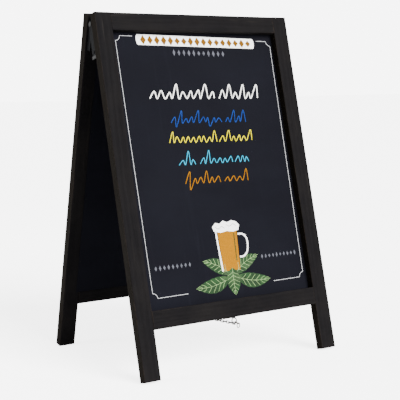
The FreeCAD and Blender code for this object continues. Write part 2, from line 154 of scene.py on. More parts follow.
class SandwichBoardStudio(bpy.types.PropertyGroup):
    """The camera, the floor and the lights."""

    lens: FloatProperty(name="Lens", description="Focal length", subtype="DISTANCE_CAMERA",
                        min=10.0, default=93.07)
    place: FloatVectorProperty(name="Camera place", description="Where the camera stands",
                               subtype="TRANSLATION", default=(-1.39102, -2.14909, 0.65843))
    heading: FloatProperty(name="Heading", description="Camera's turn from straight back to the right",
                           subtype="ANGLE", default=0.58242)
    pitch: FloatProperty(name="Pitch", description="Camera's tilt, upwards", subtype="ANGLE",
                         default=-0.1112)
    roll: FloatProperty(name="Roll", description="Camera's roll", subtype="ANGLE", default=-0.01268)
    floor: colour_property("Floor", "Pale plain floor", (0.9, 0.9, 0.9))
    sky: FloatProperty(name="Sky", description="Strength of the even light", min=0.0, default=0.6)
    glow: FloatProperty(name="Floor glow", description="Light added to the floor as it is seen",
                        min=0.0, default=4.0)
    backdrop: FloatProperty(name="Backdrop", description="Brightness of the plain backdrop", min=0.0,
                            default=7.0)
    key: FloatProperty(name="Key light", min=0.0, default=12.5,
                       description="Strength of the soft light from above the front")
    side: FloatProperty(name="Side light", description="Power of the light on the left side",
                        subtype="POWER", min=0.0, default=110.0)


class Graph:
    """Adds nodes to a tree and links or sets their inputs."""

    def __init__(self, tree):
        self.tree = tree
        self.step = 0

    def add(self, kind, inputs=None, **settings):
        node = self.tree.nodes.new(kind)
        node.location = (190 * self.step, -60 * (self.step % 5))
        self.step += 1
        for setting, value in settings.items():
            setattr(node, setting, value)
        for key, value in (inputs or {}).items():
            self.put(node.inputs[key], value)
        return node

    def put(self, socket, value):
        if isinstance(value, bpy.types.NodeSocket):
            self.tree.links.new(value, socket)
        else:
            socket.default_value = value

    def math(self, operation, first, second=0.0, third=0.0):
        inputs = {0: first, 1: second, 2: third}
        return self.add("ShaderNodeMath", inputs, operation=operation).outputs[0]

    def ramp(self, value, low, high, start=0.0, end=1.0):
        """value taken from low..high to start..end, and held at both ends."""
        inputs = {"Value": value, "From Min": low, "From Max": high, "To Min": start, "To Max": end}
        return self.add("ShaderNodeMapRange", inputs, clamp=True).outputs["Result"]

    def noise(self, vector, scale, detail=2.0, roughness=0.5):
        inputs = {"Vector": vector, "Scale": scale, "Detail": detail, "Roughness": roughness}
        return self.add("ShaderNodeTexNoise", inputs).outputs["Fac"]

    def stretched(self, vector, scale, rotation=(0.0, 0.0, 0.0)):
        inputs = {"Vector": vector, "Scale": scale, "Rotation": rotation}
        return self.add("ShaderNodeMapping", inputs).outputs["Vector"]

    def mix(self, factor, first, second):
        """A colour between first and second."""
        node = self.add("ShaderNodeMix", data_type="RGBA")
        self.put(node.inputs["Factor"], factor)
        for socket, value in ((node.inputs[6], first), (node.inputs[7], second)):
            is_colour = isinstance(value, (tuple, list)) and len(value) == 3
            self.put(socket, (*value, 1.0) if is_colour else value)
        return node.outputs[2]


def new_group(name, kind, inputs, outputs):
    """A node group with named sockets. Returns its tree, its graph and its inputs."""
    tree = bpy.data.node_groups.new(name, kind)
    for label, socket_type, default in inputs:
        socket = tree.interface.new_socket(label, in_out="INPUT", socket_type=socket_type)
        if default is not None:
            socket.default_value = default
    for label, socket_type in outputs:
        tree.interface.new_socket(label, in_out="OUTPUT", socket_type=socket_type)
    graph = Graph(tree)
    return tree, graph, graph.add("NodeGroupInput").outputs


FLOAT = "NodeSocketFloat"
VECTOR = "NodeSocketVector"


def grain_group():
    """Figure, pores and relief of planed softwood whose grain runs along Z."""
    tree, graph, given = new_group(
        "planed_grain", "ShaderNodeTree",
        [("Vector", VECTOR, None), ("Offset", FLOAT, 0.0)],
        [("Figure", FLOAT), ("Pores", FLOAT), ("Height", FLOAT)])
    moved = graph.add("ShaderNodeVectorMath", {0: given["Vector"], 1: given["Offset"]}).outputs[0]
    long_grain = graph.stretched(moved, (1.0, 1.0, 0.05))
    sway = graph.add("ShaderNodeTexNoise", {"Vector": long_grain, "Scale": 22.0, "Detail": 2.0})
    swayed = graph.add("ShaderNodeVectorMath",
                       {0: sway.outputs["Color"], 1: (0.035, 0.035, 0.0), 2: long_grain},
                       operation="MULTIPLY_ADD").outputs[0]
    rings = graph.add("ShaderNodeTexWave", {"Vector": swayed, "Scale": 32.0, "Distortion": 1.5,
                                            "Detail": 2.0, "Detail Scale": 2.0},
                      wave_type="RINGS", rings_direction="Z").outputs["Fac"]
    streaks = graph.noise(graph.stretched(moved, (1.0, 1.0, 0.03)), 420.0, 3.0)
    pores = graph.ramp(graph.noise(graph.stretched(moved, (1.0, 1.0, 0.06)), 950.0, 2.0), 0.56, 0.68)
    figure = graph.math("ADD", graph.math("MULTIPLY", rings, 0.3), graph.math("MULTIPLY", streaks, 0.7))
    height = graph.math("SUBTRACT", graph.math("MULTIPLY", figure, 0.6), graph.math("MULTIPLY", pores, 0.4))
    graph.add("NodeGroupOutput", {"Figure": figure, "Pores": pores, "Height": height})
    return tree


def edge_group():
    """Mask of the long edges of a squared piece, from its middle and half its size."""
    tree, graph, given = new_group(
        "worn_edges", "ShaderNodeTree",
        [("Vector", VECTOR, None), ("Centre", VECTOR, None), ("Half", VECTOR, None),
         ("Width", FLOAT, 0.002), ("Amount", FLOAT, 0.5)],
        [("Mask", FLOAT)])
    away = graph.add("ShaderNodeVectorMath", {0: given["Vector"], 1: given["Centre"]},
                     operation="SUBTRACT").outputs[0]
    away = graph.add("ShaderNodeVectorMath", {0: away}, operation="ABSOLUTE").outputs[0]
    room = graph.add("ShaderNodeVectorMath", {0: given["Half"], 1: away}, operation="SUBTRACT")
    parts = graph.add("ShaderNodeSeparateXYZ", {0: room.outputs[0]}).outputs
    least = graph.math("MINIMUM", parts[0], graph.math("MINIMUM", parts[1], parts[2]))
    most = graph.math("MAXIMUM", parts[0], graph.math("MAXIMUM", parts[1], parts[2]))
    total = graph.math("ADD", parts[0], graph.math("ADD", parts[1], parts[2]))
    second = graph.math("SUBTRACT", graph.math("SUBTRACT", total, least), most)
    broken = graph.noise(given["Vector"], 160.0, 4.0, 0.65)
    reach = graph.math("MULTIPLY", given["Width"], graph.ramp(broken, 0.35, 0.7, 0.1, 1.6))
    near = graph.math("SUBTRACT", 1.0, graph.math("DIVIDE", second, reach))
    patchy = graph.ramp(graph.noise(given["Vector"], 14.0, 3.0), 0.42, 0.62)
    mask = graph.math("MULTIPLY", graph.ramp(near, 0.0, 0.8), patchy)
    graph.add("NodeGroupOutput", {"Mask": graph.math("MULTIPLY", mask, given["Amount"])})
    return tree


def dust_group():
    """Soft cloudy dust and thin scuffs, for the timber and the panels."""
    tree, graph, given = new_group(
        "dust_and_scuffs", "ShaderNodeTree",
        [("Vector", VECTOR, None), ("Cloud Scale", FLOAT, 9.0), ("Scuff Scale", FLOAT, 60.0)],
        [("Dust", FLOAT), ("Scuffs", FLOAT), ("Speckle", FLOAT)])
    dust = graph.ramp(graph.noise(given["Vector"], given["Cloud Scale"], 5.0, 0.6), 0.42, 0.75)
    slanted = graph.stretched(given["Vector"], (1.0, 1.0, 0.06), (0.0, math.radians(38.0), 0.3))
    scuffs = graph.ramp(graph.noise(slanted, given["Scuff Scale"], 3.0, 0.7), 0.63, 0.72)
    speckle = graph.ramp(graph.noise(given["Vector"], 1400.0, 1.0), 0.62, 0.74)
    graph.add("NodeGroupOutput", {"Dust": dust, "Scuffs": scuffs, "Speckle": speckle})
    return tree


def chalk_group():
    """Where chalk or thick paint has caught on the panel's tooth, and its relief."""
    tree, graph, given = new_group(
        "caught_chalk", "ShaderNodeTree",
        [("Vector", VECTOR, None), ("Dryness", FLOAT, 0.3)],
        [("Cover", FLOAT), ("Height", FLOAT), ("Tone", FLOAT)])
    tooth = graph.noise(given["Vector"], 1500.0, 3.0, 0.7)
    pressure = graph.noise(given["Vector"], 130.0, 2.0)
    bare = graph.math("ADD", graph.math("MULTIPLY", tooth, 0.7), graph.math("MULTIPLY", pressure, 0.3))
    limit = graph.ramp(given["Dryness"], 0.0, 1.0, 0.28, 0.62)
    edge = graph.math("ADD", limit, 0.1)
    cover = graph.ramp(bare, limit, edge)
    tone = graph.ramp(graph.noise(given["Vector"], 320.0, 3.0), 0.3, 0.75, 0.82, 1.06)
    graph.add("NodeGroupOutput", {"Cover": cover, "Height": tooth, "Tone": tone})
    return tree


def metal_group():
    """Mottling, fine scratches and dull spots of small plated hardware."""
    tree, graph, given = new_group(
        "plated_metal", "ShaderNodeTree",
        [("Vector", VECTOR, None), ("Scale", FLOAT, 1.0)],
        [("Tone", FLOAT), ("Dullness", FLOAT), ("Height", FLOAT)])
    sized = graph.add("ShaderNodeVectorMath", {0: given["Vector"], "Scale": given["Scale"]},
                      operation="SCALE").outputs[0]
    mottle = graph.noise(sized, 240.0, 4.0, 0.6)
    scratches = graph.noise(graph.stretched(sized, (1.0, 1.0, 0.05), (0.5, 0.4, 0.0)), 1800.0, 2.0)
    spots = graph.ramp(graph.noise(sized, 700.0, 2.0), 0.6, 0.72)
    tone = graph.math("ADD", graph.ramp(mottle, 0.3, 0.7, 0.78, 1.05),
                      graph.ramp(scratches, 0.3, 0.7, -0.06, 0.06))
    dullness = graph.math("ADD", graph.ramp(mottle, 0.3, 0.7, 0.0, 0.6),
                          graph.math("MULTIPLY", spots, 0.4))
    height = graph.math("ADD", graph.math("MULTIPLY", scratches, 0.6), graph.math("MULTIPLY", spots, 0.4))
    graph.add("NodeGroupOutput", {"Tone": tone, "Dullness": dullness, "Height": height})
    return tree


def turn_of(board):
    """The board's lean from upright, as a turn about X that stands it upright."""
    axis = mount_axis(board)
    lean = math.asin(axis.z)
    return lean if board == "front" else -lean


def mount_axis(board):
    """The outward normal of a board's face."""
    for mount in frame["record"]["mounts"]:
        if mount["name"] == board + "_face":
            return Vector(mount["axis"]).normalized()
    raise RuntimeError("the record has no mount named " + board + "_face")


def upright_box(node, board):
    """Middle and half size of a node's box once its board stands upright."""
    turn = Matrix.Rotation(turn_of(board), 3, "X")
    points = [turn @ vertex.co for vertex in NODES[node].data.vertices]
    low = Vector([min(point[axis] for point in points) for axis in range(3)])
    high = Vector([max(point[axis] for point in points) for axis in range(3)])
    return (low + high) / 2, (high - low) / 2


def new_material(name):
    """A material with an empty Principled shader: its graph, shader and Object coordinates."""
    material = bpy.data.materials.new(name)
    material.use_nodes = True
    material.node_tree.nodes.clear()
    graph = Graph(material.node_tree)
    place = graph.add("ShaderNodeTexCoord").outputs["Object"]
    shader = graph.add("ShaderNodeBsdfPrincipled")
    graph.add("ShaderNodeOutputMaterial", {"Surface": shader.outputs["BSDF"]})
    return material, graph, shader, place


def use_group(graph, name, inputs):
    node = graph.add("ShaderNodeGroup", node_tree=bpy.data.node_groups[name])
    for key, value in inputs.items():
        graph.put(node.inputs[key], value)
    return node.outputs


def relief(graph, shader, height, strength, distance):
    inputs = {"Height": height, "Strength": strength, "Distance": distance}
    graph.put(shader.inputs["Normal"], graph.add("ShaderNodeBump", inputs).outputs["Normal"])


def dress(node, material):
    """Puts one material on a carried-over node."""
    slots = NODES[node].data.materials
    slots.clear()
    slots.append(material)


def stained_timber(name, node, board, along_x, offset):
    """Black-stained softwood with worn edges, for one leg or rail, and painted light on the sideways faces
    of a leg.
    """
    finish = bpy.context.scene.board_finish
    material, graph, shader, place = new_material(name)
    upright = graph.stretched(place, (1.0, 1.0, 1.0), (turn_of(board), 0.0, 0.0))
    quarter = (0.0, math.radians(90.0), 0.0)
    grain_way = graph.stretched(upright, (1.0, 1.0, 1.0), quarter) if along_x else upright
    grain = use_group(graph, "planed_grain", {"Vector": grain_way, "Offset": offset})
    middle, half = upright_box(node, board)
    worn = use_group(graph, "worn_edges", {
        "Vector": upright, "Centre": middle, "Half": half,
        "Width": finish.edge_width, "Amount": finish.edge_amount})
    dust = use_group(graph, "dust_and_scuffs", {"Vector": grain_way})
    stain = tuple(finish.stain)
    deep = tuple(0.7 * level for level in stain)
    thin = tuple(1.3 * level for level in stain)
    figured = graph.mix(graph.ramp(grain["Figure"], 0.3, 0.75), thin, stain)
    pored = graph.mix(grain["Pores"], figured, deep)
    dusty = graph.mix(graph.math("MULTIPLY", dust["Dust"], 0.08), pored, srgb(58, 54, 50))
    scuffed = graph.mix(graph.math("MULTIPLY", dust["Scuffs"], 0.08), dusty, srgb(70, 64, 58))
    # Painted light: on the legs only, faces that look sideways take the lighter, browner side colour in
    # place of the light that falls on them.
    facing = graph.add("ShaderNodeTexCoord").outputs["Normal"]
    sideways = graph.add("ShaderNodeSeparateXYZ", {0: facing}).outputs["X"]
    is_side = graph.ramp(graph.math("ABSOLUTE", sideways), 0.6, 0.95)
    side_lit_colour = graph.mix(is_side, scuffed, tuple(finish.side_stain)) if not along_x else scuffed
    graph.put(shader.inputs["Base Color"],
              graph.mix(worn["Mask"], side_lit_colour, tuple(finish.worn_edge)))
    rough = graph.math("ADD", 0.56, graph.math("MULTIPLY", grain["Figure"], 0.16))
    dulled = graph.math("MULTIPLY", dust["Dust"], 0.15)
    graph.put(shader.inputs["Roughness"], graph.math("ADD", rough, dulled))
    shader.inputs["Specular IOR Level"].default_value = 0.03
    relief(graph, shader, grain["Height"], 0.3, 0.0004)
    return material


def painted_panel(name, board):
    """Blackboard paint, with wiped chalk left in its tooth."""
    finish = bpy.context.scene.board_finish
    material, graph, shader, place = new_material(name)
    upright = graph.stretched(place, (1.0, 1.0, 1.0), (turn_of(board), 0.0, 0.0))
    dust = use_group(graph, "dust_and_scuffs", {"Vector": upright, "Cloud Scale": 5.0,
                                                "Scuff Scale": 46.0})
    wiped = graph.stretched(upright, (0.35, 1.0, 1.6), (0.0, math.radians(-28.0), 0.0))
    sweep = graph.ramp(graph.noise(wiped, 9.0, 5.0, 0.62), 0.38, 0.8)
    haze = graph.math("ADD", graph.math("MULTIPLY", sweep, 0.05),
                      graph.math("MULTIPLY", dust["Dust"], 0.035))
    haze = graph.math("ADD", haze, graph.math("MULTIPLY", dust["Scuffs"], 0.03))
    haze = graph.math("ADD", haze, graph.math("MULTIPLY", dust["Speckle"], 0.03))
    graph.put(shader.inputs["Base Color"], graph.mix(haze, tuple(finish.slate), tuple(finish.haze)))
    graph.put(shader.inputs["Roughness"], graph.math("ADD", 0.62, graph.math("MULTIPLY", sweep, 0.14)))
    shader.inputs["Specular IOR Level"].default_value = 0.02
    roller = graph.noise(upright, 900.0, 3.0, 0.6)
    relief(graph, shader, roller, 0.25, 0.0003)
    return material


def chalk(name, colour, dryness, board_shows=True):
    """Chalk or chalk paint that lets the panel show through where it hasn't caught."""
    material, graph, shader, place = new_material(name)
    caught = use_group(graph, "caught_chalk", {"Vector": place, "Dryness": dryness})
    solid = graph.add("ShaderNodeVectorMath", {0: tuple(colour), "Scale": caught["Tone"]},
                      operation="SCALE").outputs[0]
    under = tuple(bpy.context.scene.board_finish.slate)
    ground = under if board_shows else tuple(0.72 * level for level in colour)
    graph.put(shader.inputs["Base Color"], graph.mix(caught["Cover"], ground, solid))
    rough = graph.ramp(caught["Tone"], 0.8, 1.1, 0.98, 0.84)
    graph.put(shader.inputs["Roughness"], rough)
    shader.inputs["Specular IOR Level"].default_value = 0.05
    relief(graph, shader, caught["Height"], 0.35, 0.0003)
    return material


def plated(name, colour, metallic, roughness, scale=1.0, gloss=0.5):
    """Plated or blackened steel for small hardware."""
    material, graph, shader, place = new_material(name)
    metal = use_group(graph, "plated_metal", {"Vector": place, "Scale": scale})
    toned = graph.add("ShaderNodeVectorMath", {0: tuple(colour), "Scale": metal["Tone"]},
                      operation="SCALE").outputs[0]
    graph.put(shader.inputs["Base Color"], toned)
    shader.inputs["Metallic"].default_value = metallic
    shader.inputs["Specular IOR Level"].default_value = gloss
    rough = graph.ramp(metal["Dullness"], 0.0, 1.0, roughness, roughness + 0.28)
    graph.put(shader.inputs["Roughness"], rough)
    relief(graph, shader, metal["Height"], 0.3, 0.0002)
    return material


def turned_dowel(name):
    """Pale beech of the dowels, sealed inside the joints."""
    material, graph, shader, place = new_material(name)
    sideways = graph.stretched(place, (1.0, 1.0, 1.0), (0.0, math.radians(90.0), 0.0))
    grain = use_group(graph, "planed_grain", {"Vector": sideways, "Offset": 0.7})
    beech = graph.mix(graph.ramp(grain["Figure"], 0.25, 0.8), srgb(196, 160, 118), srgb(166, 126, 84))
    graph.put(shader.inputs["Base Color"], graph.mix(grain["Pores"], beech, srgb(120, 86, 54)))
    figured = graph.math("MULTIPLY", grain["Figure"], 0.2)
    graph.put(shader.inputs["Roughness"], graph.math("ADD", 0.5, figured))
    relief(graph, shader, grain["Height"], 0.4, 0.0003)
    return material


def panel_plane(board):
    """Matrix from a panel's own millimetres (across, up, out) to the frame's metres."""
    outward = mount_axis(board)
    upward = (Vector((0, 0, 1)) - outward.z * outward).normalized()
    across = upward.cross(outward)
    face = max(outward.dot(v.co) for v in NODES[board + "_panel"].data.vertices)
    low = max(upward.dot(v.co) for v in NODES[board + "_bottom_rail"].data.vertices)
    plane = Matrix((across, upward, outward)).transposed().to_4x4()
    plane.translation = (low + ZERO_HEIGHT * MM) * upward + face * outward
    return plane @ Matrix.Scale(MM, 4)


def set_askew(mesh):
    """Brings the right side of a drawing down near the top of the panel and up near its foot."""
    for vertex in mesh.vertices:
        across = (vertex.co.x - ASKEW_LEFT) / ASKEW_WIDTH
        up = vertex.co.y / ASKEW_HEIGHT
        vertex.co.y += across * (ASKEW_RISE * (1.0 - up) - ASKEW_FALL * up)


def place_piece(name, mesh, board):
    """Makes a flat drawing a piece that lies on a board's panel and moves with it."""
    set_askew(mesh)
    mesh.transform(panel_plane(board))
    mesh.name = name
    piece = bpy.data.objects.new(name, mesh)
    bpy.context.scene.collection.objects.link(piece)
    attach(piece, board + "_board")
    return piece


def stroke_tree():
    """Turns drawn lines into strokes of chalk or paint with a flat section."""
    tree, graph, given = new_group(
        "drawn_stroke", "GeometryNodeTree",
        [("Lines", "NodeSocketGeometry", None), ("Width", FLOAT, 3.0), ("Thickness", FLOAT, 0.3),
         ("Spacing", FLOAT, 2.0), ("Unevenness", FLOAT, 0.3), ("Seed", FLOAT, 0.0),
         ("Smooth", "NodeSocketBool", True), ("Finish", "NodeSocketMaterial", None)],
        [("Stroke", "NodeSocketGeometry")])
    drawn = graph.add("GeometryNodeMeshToCurve", {"Mesh": given["Lines"]}).outputs["Curve"]
    rounded = graph.add("GeometryNodeCurveSplineType",
                        {"Curve": drawn, "Selection": given["Smooth"]},
                        spline_type="CATMULL_ROM").outputs["Curve"]
    spaced = graph.add("GeometryNodeResampleCurve", {"Curve": rounded, "Length": given["Spacing"]},
                       mode="LENGTH").outputs["Curve"]
    level = graph.add("GeometryNodeSetCurveNormal", {"Curve": spaced}, mode="Z_UP").outputs["Curve"]
    swell = graph.add("ShaderNodeTexNoise", {"W": given["Seed"], "Scale": 0.16, "Detail": 2.0},
                      noise_dimensions="4D").outputs["Fac"]
    swing = graph.math("MULTIPLY", graph.math("SUBTRACT", swell, 0.5), given["Unevenness"])
    size = graph.math("MULTIPLY_ADD", swing, 3.0, 1.0)
    section = graph.add("GeometryNodeCurvePrimitiveQuadrilateral",
                        {"Width": given["Width"], "Height": given["Thickness"]}).outputs["Curve"]
    solid = graph.add("GeometryNodeCurveToMesh", {
        "Curve": level, "Profile Curve": section, "Scale": size, "Fill Caps": True}).outputs["Mesh"]
    whole = graph.add("GeometryNodeRealizeInstances", {"Geometry": solid}).outputs["Geometry"]
    finished = graph.add("GeometryNodeSetMaterial",
                         {"Geometry": whole, "Material": given["Finish"]}).outputs["Geometry"]
    graph.add("NodeGroupOutput", {"Stroke": finished})
    return tree


def band_tree():
    """A row of lozenges, the plain ornament that stands in for words."""
    tree, graph, given = new_group(
        "ornament_band", "GeometryNodeTree",
        [("Start", VECTOR, None), ("Count", "NodeSocketInt", 9), ("Pitch", FLOAT, 12.0),
         ("Width", FLOAT, 7.0), ("Height", FLOAT, 12.0), ("Thickness", FLOAT, 0.3),
         ("Unevenness", FLOAT, 0.2), ("Seed", "NodeSocketInt", 0),
         ("Finish", "NodeSocketMaterial", None)],
        [("Band", "NodeSocketGeometry")])
    step = graph.add("ShaderNodeCombineXYZ", {"X": given["Pitch"]}).outputs[0]
    row = graph.add("GeometryNodeMeshLine", {
        "Count": given["Count"], "Start Location": given["Start"], "Offset": step}).outputs["Mesh"]
    lozenge = graph.add("GeometryNodeMeshCircle", {"Vertices": 4, "Radius": 0.5},
                        fill_type="NGON").outputs["Mesh"]
    solid = graph.add("GeometryNodeExtrudeMesh", {"Mesh": lozenge, "Offset Scale": 1.0}).outputs
    base = graph.add("GeometryNodeFlipFaces", {"Mesh": lozenge}).outputs["Mesh"]
    joined = graph.add("GeometryNodeJoinGeometry").inputs[0]
    graph.put(joined, solid["Mesh"])
    graph.put(joined, base)
    closed = graph.add("GeometryNodeMergeByDistance",
                       {"Geometry": joined.node.outputs[0], "Distance": 0.001}).outputs["Geometry"]
    swing = graph.add("FunctionNodeRandomValue", {"Seed": given["Seed"]}, data_type="FLOAT")
    graph.put(swing.inputs[2], graph.math("SUBTRACT", 1.0, given["Unevenness"]))
    graph.put(swing.inputs[3], graph.math("ADD", 1.0, given["Unevenness"]))
    tall = graph.math("MULTIPLY", given["Height"], swing.outputs[1])
    size = graph.add("ShaderNodeCombineXYZ", {
        "X": given["Width"], "Y": tall, "Z": given["Thickness"]}).outputs[0]
    placed = graph.add("GeometryNodeInstanceOnPoints",
                       {"Points": row, "Instance": closed, "Scale": size}).outputs["Instances"]
    whole = graph.add("GeometryNodeRealizeInstances", {"Geometry": placed}).outputs["Geometry"]
    finished = graph.add("GeometryNodeSetMaterial",
                         {"Geometry": whole, "Material": given["Finish"]}).outputs["Geometry"]
    graph.add("NodeGroupOutput", {"Band": finished})
    return tree


def grown(name, start_mesh, tree_name, inputs):
    """Runs a Geometry Nodes tree on a mesh and returns the result as a plain mesh."""
    tree = bpy.data.node_groups[tree_name]
    source = bpy.data.objects.new(name + "_lines", start_mesh)
    bpy.context.scene.collection.objects.link(source)
    modifier = source.modifiers.new(name, "NODES")
    modifier.node_group = tree
    for socket in tree.interface.items_tree:
        if socket.in_out == "INPUT" and socket.name in inputs:
            modifier[socket.identifier] = inputs[socket.name]
    evaluated = source.evaluated_get(bpy.context.evaluated_depsgraph_get())
    mesh = bpy.data.meshes.new_from_object(evaluated)
    source.modifiers.remove(modifier)
    bpy.data.objects.remove(source)
    return mesh


def line_mesh(lines, height):
    """Lines of (x, y) points, each with whether it closes, as a mesh of edges."""
    points, edges = [], []
    for outline, is_closed in lines:
        first = len(points)
        points += [(x, y, height) for x, y in outline]
        edges += [(first + step, first + step + 1) for step in range(len(outline) - 1)]
        if is_closed:
            edges.append((len(points) - 1, first))
    mesh = bpy.data.meshes.new("lines")
    mesh.from_pydata(points, edges, [])
    return mesh


def draw_strokes(name, board, lines, width, top, material, smooth=True, uneven=None, spacing=1.6):
    """Draws lines on a board's panel as strokes whose upper face is at that height."""
    drawing = bpy.context.scene.board_drawing
    thickness = top - SUNK
    mesh = grown(name, line_mesh(lines, SUNK + thickness / 2), "drawn_stroke", {
        "Width": width, "Thickness": thickness, "Spacing": spacing,
        "Unevenness": drawing.unevenness if uneven is None else uneven,
        "Seed": float(drawing.seed), "Smooth": smooth, "Finish": material})
    return place_piece(name, mesh, board)


def draw_fills(name, board, outlines, top, material):
    """Fills closed outlines with a thin slab whose upper face is at that height."""
    shape = bmesh.new()
    for outline in outlines:
        upper = [shape.verts.new((x, y, top)) for x, y in outline]
        lower = [shape.verts.new((x, y, SUNK)) for x, y in outline]
        shape.faces.new(upper)
        shape.faces.new(lower[::-1])
        for here in range(len(outline)):
            after = (here + 1) % len(outline)
            shape.faces.new((upper[here], lower[here], lower[after], upper[after]))
    bmesh.ops.triangulate(shape, faces=shape.faces[:])
    bmesh.ops.recalc_face_normals(shape, faces=shape.faces[:])
    mesh = bpy.data.meshes.new(name)
    shape.to_mesh(mesh)
    shape.free()
    mesh.materials.append(material)
    return place_piece(name, mesh, board)


def draw_band(name, board, middle, width, height, size, count, material, top=LINE_TOP, seed=3):
    """Draws a row of lozenges, centred on a point, across that width."""
    pitch = width / count
    start = (middle[0] - width / 2 + pitch / 2, middle[1], SUNK)
    mesh = grown(name, bpy.data.meshes.new("empty"), "ornament_band", {
        "Start": start, "Count": count, "Pitch": pitch, "Width": size * pitch, "Height": height,
        "Thickness": top - SUNK, "Seed": seed, "Finish": material})
    return place_piece(name, mesh, board)


# The two sides of the border: edge at the top and at the foot, way inward, and where the line
# stops at the top and at the foot.
BORDER_SIDES = (
    (-220.0, -214.5, 1, -174.0, -120.0),
    (226.0, 222.0, -1, 184.0, 129.0),
)
BORDER_LOW, BORDER_HIGH = 30.0, 645.0
NOTCH = 12.0
PLAQUE = (-165.0, 176.0, 624.5, 650.0)
PLAQUE_PINCH = 7.0
# Rows of lozenges: place of the middle, width, height, size of a lozenge, how many.
PLAQUE_BAND = ((5.5, 637.0), 322, 20, 0.82, 17)
GREY_BAND = ((6, 608), 156, 14, 0.55, 11)
LEFT_BAND = ((-151, 97), 104, 11, 0.55, 9)
RIGHT_BAND = ((155, 94), 112, 11, 0.55, 10)

# Chalk rows: colour, foot of the strokes, height of low and tall strokes, drop below the foot,
# pitch of the strokes, and where each group of strokes begins and ends.
ROWS = (
    (WHITE_CHALK, 494.0, 19.0, 36.0, 0.0, 20.0, ((-150, 34), (45, 163))),
    (BLUE_CHALK, 434.0, 14.0, 31.0, 11.0, 15.5, ((-100, 43), (56, 114))),
    (YELLOW_CHALK, 386.0, 14.0, 28.0, 8.0, 15.0, ((-115, 21), (30, 126))),
    (CYAN_CHALK, 333.0, 14.0, 33.0, 0.0, 15.5, ((-93, -49), (-36, 59), (67, 107))),
    (AMBER_CHALK, 286.0, 14.0, 30.0, 15.0, 16.5, ((-85, 14), (27, 97))),
)
SLANT = 0.24

# Leaves under the drink, a fan alike on both sides: stalk end, tip, width, bend to the left of
# the way from stalk to tip.
LEAVES = (
    ((2, 52), (-96, 38), 36, 6.0),
    ((4, 62), (-68, 100), 34, -6.0),
    ((22, 52), (120, 38), 36, -6.0),
    ((20, 62), (92, 100), 34, 6.0),
)
OVER_LEAF = ((12, 76), (12, 10), 40, 0.0)
MUG_BODY = ((-16, 168), (40, 168), (36, 70), (-12, 70))
MUG_RIM = ((-20, 168), (-18, 120), (-15, 70))
MUG_HANDLE = ((42, 156), (58, 154), (67, 140), (65, 116), (54, 102), (40, 100))
FOAM = ((-25, 168), (-28, 179), (-18, 188), (-6, 185), (4, 192), (16, 187), (29, 191),
        (42, 187), (50, 178), (46, 166), (30, 163), (12, 166), (-6, 163))
FOAM_CURLS = (
    ((-20, 178), (-11, 173), (-2, 178), (7, 173)),
    ((12, 182), (22, 177), (32, 182), (41, 177)),
)
MUG_SHADE = ((31, 160), (29, 92))
MUG_LIFT = 0.05
RIM_LIFT = 0.03
VEIN_WIDTH = 0.9
RIM_WIDTH = 4.6
CURL_WIDTH = 1.0
SHADE_WIDTH = 2.6


def notched_side(high_edge, low_edge, inward, high_gap, low_gap):
    """Border line of one side: from the top gap round both notched corners to the low gap."""
    line = [(high_gap, BORDER_HIGH)]
    corners = ((high_edge, BORDER_HIGH, -1, 1), (low_edge, BORDER_LOW, 1, -1))
    for edge, level, outward, order in corners:
        turn = []
        for step in range(9):
            angle = math.radians(90 * step / 8)
            turn.append((edge + inward * NOTCH * math.cos(angle),
                         level + outward * NOTCH * math.sin(angle)))
        line += turn[::order]
    return line + [(low_gap, BORDER_LOW)]


def stroke_word(rng, left, right, row):
    """Slanted up and down strokes with a few tall and dropped ones: no letters."""
    foot, low, tall, drop, pitch = row
    count = 2 * max(2, round((right - left) / pitch))
    points = []
    was_tall = False
    for number in range(count + 1):
        if number % 2:
            was_tall = not was_tall and rng.random() < 0.38
            level = foot + (tall if was_tall else low * rng.uniform(0.8, 1.15))
        else:
            level = foot - (drop if 0 < number < count and rng.random() < 0.14 else 0.0)
            level += rng.uniform(0.0, 2.0)
        x = left + (right - left) * number / count + rng.uniform(-2.0, 2.0)
        points.append((x + SLANT * (level - foot), level))
    return points


def plaque_outline():
    """A plaque with softly pinched ends."""
    left, right, low, high = PLAQUE
    middle, half = (low + high) / 2, (high - low) / 2
    outline = []
    for end, way in ((right, 1), (left, -1)):
        for step in range(13):
            angle = math.radians(-90 + 180 * step / 12)
            bulge = math.cos(angle) ** 0.6 if abs(angle) < math.radians(89) else 0.0
            reach = PLAQUE_PINCH * bulge
            outline.append((end - way * PLAQUE_PINCH + way * reach,
                            middle + way * half * math.sin(angle)))
    return outline


def leaf_shape(leaf, count=16):
    """Middle line, outline and side veins of a leaf."""
    (x0, y0), (x1, y1), width, bend = leaf
    way = Vector((x1 - x0, y1 - y0))
    side = Vector((-way.y, way.x)).normalized()

    def middle(share):
        return Vector((x0, y0)) + way * share + side * bend * math.sin(math.pi * share)

    def half(share):
        return width / 2 * math.sin(math.pi * share ** 0.85) ** 0.8

    shares = [step / count for step in range(1, count)]
    upper = [middle(s) + side * half(s) * (1.0 + 0.03 * math.sin(40 * s)) for s in shares]
    lower = [middle(s) - side * half(s) * (1.0 + 0.03 * math.cos(37 * s)) for s in shares]
    outline = [middle(0.0)] + upper + [middle(1.0)] + lower[::-1]
    veins = [[middle(step / 10) for step in range(11)]]
    for share in (0.14, 0.28, 0.42, 0.56, 0.7, 0.82):
        for hand in (-1, 1):
            tip = min(share + 0.13, 0.97)
            veins.append([middle(share), middle((share + tip) / 2) + side * hand * half(share) * 0.42,
                          middle(tip) + side * hand * half(tip) * 0.86])
    plain = [(point.x, point.y) for point in outline]
    return plain, [[(point.x, point.y) for point in vein] for vein in veins]


